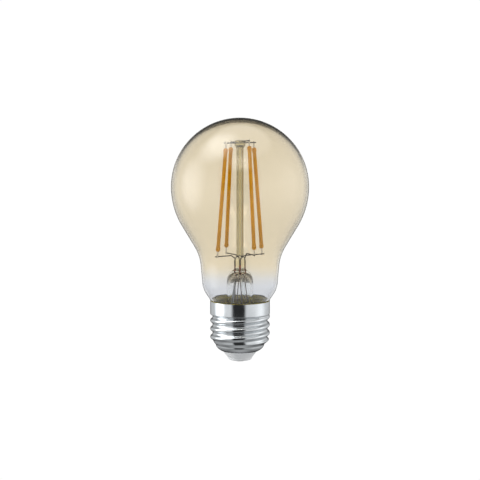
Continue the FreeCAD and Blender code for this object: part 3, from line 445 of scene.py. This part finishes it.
def nickel_plate():
    """Bright nickel with the fine level lines of rolling and a few faint smears."""
    material, nodes, links, shader = new_material("bright_nickel_plate")
    shader.inputs["Metallic"].default_value = 1.0
    place = nodes.new("ShaderNodeTexCoord")
    stretch = nodes.new("ShaderNodeMapping")
    stretch.inputs["Scale"].default_value = (30.0, 30.0, 2600.0)
    lines = nodes.new("ShaderNodeTexNoise")
    lines.inputs["Scale"].default_value = 1.0
    lines.inputs["Detail"].default_value = 4.0
    smear = nodes.new("ShaderNodeTexNoise")
    smear.inputs["Scale"].default_value = 220.0
    smear.inputs["Detail"].default_value = 5.0
    gloss = nodes.new("ShaderNodeMapRange")
    gloss.inputs["From Min"].default_value = 0.35
    gloss.inputs["From Max"].default_value = 0.75
    gloss.inputs["To Min"].default_value = 0.11
    gloss.inputs["To Max"].default_value = 0.21
    tone = nodes.new("ShaderNodeValToRGB")
    tone.color_ramp.elements[0].position = 0.3
    tone.color_ramp.elements[0].color = (0.56, 0.59, 0.61, 1.0)
    tone.color_ramp.elements[1].position = 0.7
    tone.color_ramp.elements[1].color = (0.66, 0.69, 0.71, 1.0)
    relief = nodes.new("ShaderNodeBump")
    relief.inputs["Strength"].default_value = 0.10
    relief.inputs["Distance"].default_value = 0.02 * MM
    links.new(place.outputs["Object"], stretch.inputs["Vector"])
    links.new(stretch.outputs["Vector"], lines.inputs["Vector"])
    links.new(place.outputs["Object"], smear.inputs["Vector"])
    links.new(smear.outputs["Fac"], gloss.inputs["Value"])
    links.new(gloss.outputs["Result"], shader.inputs["Roughness"])
    links.new(smear.outputs["Fac"], tone.inputs["Fac"])
    links.new(tone.outputs["Color"], shader.inputs["Base Color"])
    links.new(lines.outputs["Fac"], relief.inputs["Height"])
    links.new(relief.outputs["Normal"], shader.inputs["Normal"])
    return material


bpy.ops.object.select_all(action="DESELECT")
bpy.ops.mesh.primitive_cylinder_add(vertices=facets, radius=thread_root,
                                    depth=shell_box[1].z - shell_box[0].z, end_fill_type="NOTHING",
                                    location=(0, 0, (shell_box[0].z + shell_box[1].z) / 2))
shell = bpy.context.object
shell.name = "rolled_screw_shell"
bpy.ops.object.transform_apply(location=True, rotation=True, scale=True)
bpy.ops.object.mode_set(mode="EDIT")
bpy.ops.mesh.select_all(action="DESELECT")
shell_mesh = bmesh.from_edit_mesh(shell.data)
for edge in shell_mesh.edges:
    edge.select = abs(edge.verts[0].co.z - edge.verts[1].co.z) > MM
bpy.ops.mesh.subdivide(number_cuts=rings)
bpy.ops.object.mode_set(mode="OBJECT")
for vertex in shell.data.vertices:
    turn_angle = math.atan2(vertex.co.y, vertex.co.x)
    radius = shell_radius(turn_angle, vertex.co.z)
    vertex.co.x = radius * math.cos(turn_angle)
    vertex.co.y = radius * math.sin(turn_angle)
bpy.ops.object.mode_set(mode="EDIT")
bpy.ops.mesh.select_all(action="SELECT")
bpy.ops.mesh.normals_make_consistent(inside=False)
bpy.ops.object.mode_set(mode="OBJECT")
apply_modifier(shell, "SOLIDIFY", thickness=shell_wall, offset=-1.0, use_even_offset=True)
bpy.ops.object.shade_smooth_by_angle(angle=math.radians(50))
finish_piece(shell, nickel_plate(), "shell_nickel", "screw_shell")

# ---------------------------------------------------------------------------------------------
# Insulator: a glossy white plastic cup moulded to fit inside the shell. Its nose shows below the
# metal, with the plated contact nail pressed through the middle.
# ---------------------------------------------------------------------------------------------
def grain(name, low, high, scale, roughness, metallic=0.0, bump=0.1, depth=0.02, sheen=0.0,
          shine=0.5):
    """A material whose colour drifts between two tones, with a matching fine relief."""
    material, nodes, links, shader = new_material(name)
    shader.inputs["Metallic"].default_value = metallic
    shader.inputs["Sheen Weight"].default_value = sheen
    shader.inputs["Specular IOR Level"].default_value = shine
    place = nodes.new("ShaderNodeTexCoord")
    mottle = nodes.new("ShaderNodeTexNoise")
    mottle.inputs["Scale"].default_value = scale
    mottle.inputs["Detail"].default_value = 4.0
    tone = nodes.new("ShaderNodeValToRGB")
    tone.color_ramp.elements[0].position = 0.32
    tone.color_ramp.elements[0].color = (*low, 1.0)
    tone.color_ramp.elements[1].position = 0.68
    tone.color_ramp.elements[1].color = (*high, 1.0)
    gloss = nodes.new("ShaderNodeMapRange")
    gloss.inputs["To Min"].default_value = roughness * 0.8
    gloss.inputs["To Max"].default_value = roughness * 1.2
    fine = nodes.new("ShaderNodeTexNoise")
    fine.inputs["Scale"].default_value = scale * 6.0
    fine.inputs["Detail"].default_value = 3.0
    relief = nodes.new("ShaderNodeBump")
    relief.inputs["Strength"].default_value = bump
    relief.inputs["Distance"].default_value = depth * MM
    links.new(place.outputs["Object"], mottle.inputs["Vector"])
    links.new(place.outputs["Object"], fine.inputs["Vector"])
    links.new(mottle.outputs["Fac"], tone.inputs["Fac"])
    links.new(tone.outputs["Color"], shader.inputs["Base Color"])
    links.new(mottle.outputs["Fac"], gloss.inputs["Value"])
    links.new(gloss.outputs["Result"], shader.inputs["Roughness"])
    links.new(fine.outputs["Fac"], relief.inputs["Height"])
    links.new(relief.outputs["Normal"], shader.inputs["Normal"])
    return material


def coat_nodes(material, *names):
    """Give CAD nodes whose shape is right their real finish."""
    for name in names:
        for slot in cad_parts[name].material_slots:
            slot.material = material


coat_nodes(grain("white_moulding", (0.88, 0.91, 0.93), (0.94, 0.96, 0.97), 300.0, 0.28),
           "insulator")
coat_nodes(grain("contact_plate", (0.55, 0.54, 0.50), (0.74, 0.72, 0.66), 700.0, 0.3, metallic=1.0),
           "centre_contact")

# ---------------------------------------------------------------------------------------------
# Basing cement: olive-yellow resin and stone powder. It is spread inside the collar, and baked hard
# between metal and glass when the cap is put on.
# ---------------------------------------------------------------------------------------------
coat_nodes(grain("baked_cement", (0.72, 0.58, 0.05), (1.0, 0.84, 0.14), 900.0, 0.7, bump=0.5,
                 depth=0.1), "basing_cement")

# ---------------------------------------------------------------------------------------------
# Glass stem: a flared tube whose top is squeezed flat while hot round the four lead wires.
# The exhaust hole is left beside the press, and the support tube stands on it.
# ---------------------------------------------------------------------------------------------
flare_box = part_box("stem_flare")
press_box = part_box("stem_press")
flare_rim = flare_box[1].x
press_top = press_box[1].z
press_half = press_box[1].x
stem_tube = 5.8 * MM
stem_wall = 1.0 * MM
stem_bore = stem_tube - stem_wall
press_flat = (38.4 * MM, 41.2 * MM)
press_bottom = 37.6 * MM
press_thinning = 0.34
groove_depth = 0.30
groove_half = (0.1 * MM, 1.3 * MM)
press_colour_from = 39.8 * MM
press_colour_to = 41.4 * MM


def clear_glass(name, stops, ripple=0.01):
    """Clear drawn glass whose colour is darkened towards its outline: painted shade for its dark
    outline lines.
    """
    material, nodes, links, shader = new_material(name)
    shader.inputs["IOR"].default_value = 1.52
    shader.inputs["Roughness"].default_value = 0.0
    shader.inputs["Transmission Weight"].default_value = 1.0
    place = nodes.new("ShaderNodeTexCoord")
    wave = nodes.new("ShaderNodeTexNoise")
    wave.inputs["Scale"].default_value = 160.0
    wave.inputs["Detail"].default_value = 1.0
    relief = nodes.new("ShaderNodeBump")
    relief.inputs["Strength"].default_value = ripple
    relief.inputs["Distance"].default_value = 0.3 * MM
    slant = nodes.new("ShaderNodeLayerWeight")
    slant.inputs["Blend"].default_value = 0.5
    # painted shade: the stops darken the glass colour towards its outline
    rim = nodes.new("ShaderNodeValToRGB")
    for position, _ in stops[1:-1]:
        rim.color_ramp.elements.new(position)
    for element, (position, colour) in zip(rim.color_ramp.elements, stops):
        element.position = position
        element.color = (*colour, 1.0)
    links.new(slant.outputs["Facing"], rim.inputs["Fac"])
    links.new(rim.outputs["Color"], shader.inputs["Base Color"])
    links.new(place.outputs["Object"], wave.inputs["Vector"])
    links.new(wave.outputs["Fac"], relief.inputs["Height"])
    links.new(relief.outputs["Normal"], shader.inputs["Normal"])
    return material


def stem_outline():
    """The stem from its flared rim, over the shoulder, up the press and back down inside."""
    bend = flare_rim - stem_tube
    mouth = (flare_rim, flare_box[0].z + stem_wall + bend)
    shoulder = ((5.8, 30.0), (5.8, 34.6), (5.72, 36.0), (5.42, 37.3), (4.9, 38.3), (4.2, 39.1),
                (3.45, 39.65), (2.9, 40.1))
    pinch = ((2.6, 40.7), (2.5, 41.6), (2.58, 42.7))
    bulge = ((2.5, 44.8), (2.15, 45.7), (1.7, 46.4), (1.1, 46.8))
    dome = ((0.0, 38.2), (1.3, 38.15), (2.5, 37.8), (3.5, 37.1), (4.2, 36.2), (4.65, 34.8))
    outline = [(flare_rim, flare_box[0].z)]
    outline += arc_points(mouth, bend, 270.0, 180.0, 10)
    outline += [(across * MM, up * MM) for across, up in shoulder + pinch]
    outline += [(press_half, 43.8 * MM)]
    outline += [(across * MM, up * MM) for across, up in bulge]
    outline += [(0.0, press_top)]
    outline += [(across * MM, up * MM) for across, up in dome]
    outline += [(stem_bore, 32.5 * MM), (stem_bore, 29.0 * MM)]
    outline += arc_points(mouth, bend + stem_wall, 180.0, 258.0, 8)
    return outline + [(flare_rim, flare_box[0].z)]


def darken_press(material):
    """Tint the squeezed glass brownish, and paint shade that darkens it sooner towards its outline.
    """
    nodes, links = material.node_tree.nodes, material.node_tree.links
    shader = nodes["Principled BSDF"]
    tube_tone = shader.inputs["Base Color"].links[0].from_socket
    place = nodes.new("ShaderNodeTexCoord")
    split = nodes.new("ShaderNodeSeparateXYZ")
    squeezed = nodes.new("ShaderNodeMapRange")
    squeezed.inputs["From Min"].default_value = press_colour_from
    squeezed.inputs["From Max"].default_value = press_colour_to
    slant = nodes.new("ShaderNodeLayerWeight")
    slant.inputs["Blend"].default_value = 0.5
    # painted shade: the tone ramp runs from a brownish tint face-on to dark at the outline
    tone = nodes.new("ShaderNodeValToRGB")
    tone.color_ramp.elements[0].position = 0.08
    tone.color_ramp.elements[0].color = (0.93, 0.89, 0.72, 1.0)
    tone.color_ramp.elements[1].position = 0.62
    tone.color_ramp.elements[1].color = (0.20, 0.17, 0.08, 1.0)
    both = nodes.new("ShaderNodeMixRGB")
    links.new(place.outputs["Object"], split.inputs["Vector"])
    links.new(split.outputs["Z"], squeezed.inputs["Value"])
    links.new(slant.outputs["Facing"], tone.inputs["Fac"])
    links.new(squeezed.outputs["Result"], both.inputs["Fac"])
    links.new(tube_tone, both.inputs["Color1"])
    links.new(tone.outputs["Color"], both.inputs["Color2"])
    links.new(both.outputs["Color"], shader.inputs["Base Color"])


stem = turned("pressed_stem", stem_outline(), steps=72)
for vertex in stem.data.vertices:
    flat = smooth_step(vertex.co.z, *press_flat)
    groove = 1.0 - smooth_step(abs(vertex.co.x), *groove_half)
    if vertex.co.z > press_bottom:
        vertex.co.y *= 1.0 - flat * (press_thinning + groove_depth * groove)
apply_modifier(stem, "SUBSURF", levels=1, render_levels=1)
# the stem glass darkens towards its outline: painted shade
stem_glass = clear_glass("stem_glass_clear", (
    (0.30, (0.985, 0.99, 0.985)), (0.60, (0.93, 0.94, 0.93)), (0.82, (0.66, 0.68, 0.68)),
    (0.96, (0.10, 0.11, 0.11))))
darken_press(stem_glass)
finish_piece(stem, stem_glass, "stem_glass", "stem_flare", "stem_press")
# the exhaust, support tube and button glass darken towards their outlines: painted shade
coat_nodes(clear_glass("exhaust_glass", ((0.2, (0.95, 0.96, 0.96)), (0.5, (0.72, 0.75, 0.78)),
                                         (0.95, (0.25, 0.27, 0.28)))), "exhaust_tube")
coat_nodes(clear_glass("support_glass", (
    (0.02, (0.92, 0.89, 0.74)), (0.09, (0.48, 0.46, 0.34)), (0.60, (0.42, 0.40, 0.29)),
    (0.95, (0.18, 0.18, 0.14)))), "support_tube")
coat_nodes(clear_glass("button_glass", ((0.05, (0.70, 0.66, 0.46)), (0.40, (0.50, 0.47, 0.31)),
                                        (0.90, (0.16, 0.15, 0.10))), ripple=0.3), "top_button")

# ---------------------------------------------------------------------------------------------
# Lead wires: stiff nickel arms above the press, red copper-clad seals in it and tinned leads
# below it, butt-welded end to end. A woven sleeve covers the left lead.
# ---------------------------------------------------------------------------------------------
arms = [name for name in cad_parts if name.startswith(("support_arm", "bridge_wire"))]
seals = [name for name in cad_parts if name.startswith("seal_wire")]
leads = [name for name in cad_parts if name.startswith("outer_lead")]
coat_nodes(grain("drawn_nickel", (0.03, 0.028, 0.026), (0.13, 0.12, 0.115), 1500.0, 0.34,
                 metallic=1.0), *arms)
coat_nodes(grain("sealed_copper", (0.30, 0.045, 0.02), (0.50, 0.10, 0.05), 1500.0, 0.4), *seals)
coat_nodes(grain("tinned_copper", (0.16, 0.12, 0.10), (0.36, 0.30, 0.27), 1500.0, 0.4,
                 metallic=0.8), *leads, "neutral_wire", "live_wire", "antenna_wire")
coat_nodes(grain("woven_sleeve", (0.74, 0.80, 0.85), (0.90, 0.93, 0.95), 2600.0, 0.8, bump=0.6,
                 depth=0.06, sheen=0.2), "lead_sleeve")

# ---------------------------------------------------------------------------------------------
# Filaments: a row of blue diode chips on a narrow ceramic strip, dipped in orange phosphor.
# A bare plated pin at each end is spot-welded to its wire.
# ---------------------------------------------------------------------------------------------
coats = [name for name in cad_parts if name.startswith("phosphor_coat")]
strips = [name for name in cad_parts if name.startswith("carrier_strip")]
chips = [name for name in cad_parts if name.startswith("diode_chips")]
pins = [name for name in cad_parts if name.startswith("filament_pins")]
phosphor = grain("orange_phosphor", (0.92, 0.42, 0.002), (0.98, 0.50, 0.006), 420.0, 0.62,
                 bump=0.12, depth=0.05, shine=0.08)
coat_nodes(phosphor, *coats)
coat_nodes(grain("pale_ceramic", (0.70, 0.69, 0.64), (0.82, 0.81, 0.77), 900.0, 0.4), *strips)
coat_nodes(grain("blue_diode", (0.05, 0.10, 0.30), (0.12, 0.20, 0.45), 1200.0, 0.15), *chips)
coat_nodes(grain("plated_pin", (0.62, 0.61, 0.60), (0.80, 0.79, 0.77), 900.0, 0.3, metallic=0.9),
           *pins)

# ---------------------------------------------------------------------------------------------
# Driver, inside the cap: white round board with its power parts, and the green radio board. The
# parts are soldered on, and the board is pushed into the insulator.
# ---------------------------------------------------------------------------------------------
coat_nodes(grain("white_solder_mask", (0.62, 0.64, 0.62), (0.74, 0.76, 0.74), 500.0, 0.35),
           "driver_board")
coat_nodes(grain("green_solder_mask", (0.01, 0.09, 0.04), (0.02, 0.16, 0.07), 700.0, 0.3),
           "wireless_board")
coat_nodes(grain("black_epoxy", (0.012, 0.012, 0.013), (0.035, 0.035, 0.037), 1500.0, 0.5,
                 bump=0.3), "bridge_rectifier", "driver_chip", "dimmer_chip", "wireless_chip",
           "chip_resistors")
coat_nodes(grain("tinned_can", (0.52, 0.52, 0.51), (0.70, 0.70, 0.68), 900.0, 0.32, metallic=1.0),
           "wireless_shield", "wireless_crystal")
coat_nodes(grain("capacitor_wrap", (0.015, 0.016, 0.03), (0.03, 0.03, 0.05), 500.0, 0.3),
           "bulk_capacitor")
coat_nodes(grain("grey_ferrite", (0.03, 0.03, 0.03), (0.08, 0.08, 0.08), 1400.0, 0.6, bump=0.4),
           "choke_core")
coat_nodes(grain("enamelled_copper", (0.30, 0.09, 0.03), (0.50, 0.18, 0.07), 1600.0, 0.3,
                 metallic=0.9, bump=0.5, depth=0.05), "choke_winding")
coat_nodes(grain("dipped_epoxy", (0.42, 0.05, 0.02), (0.55, 0.08, 0.04), 300.0, 0.3),
           "film_capacitor")
coat_nodes(grain("resistor_cement", (0.14, 0.22, 0.20), (0.24, 0.34, 0.31), 1000.0, 0.7,
                 bump=0.4), "fusible_resistor")
coat_nodes(grain("tan_ceramic", (0.30, 0.20, 0.12), (0.44, 0.31, 0.20), 900.0, 0.5),
           "chip_capacitors")
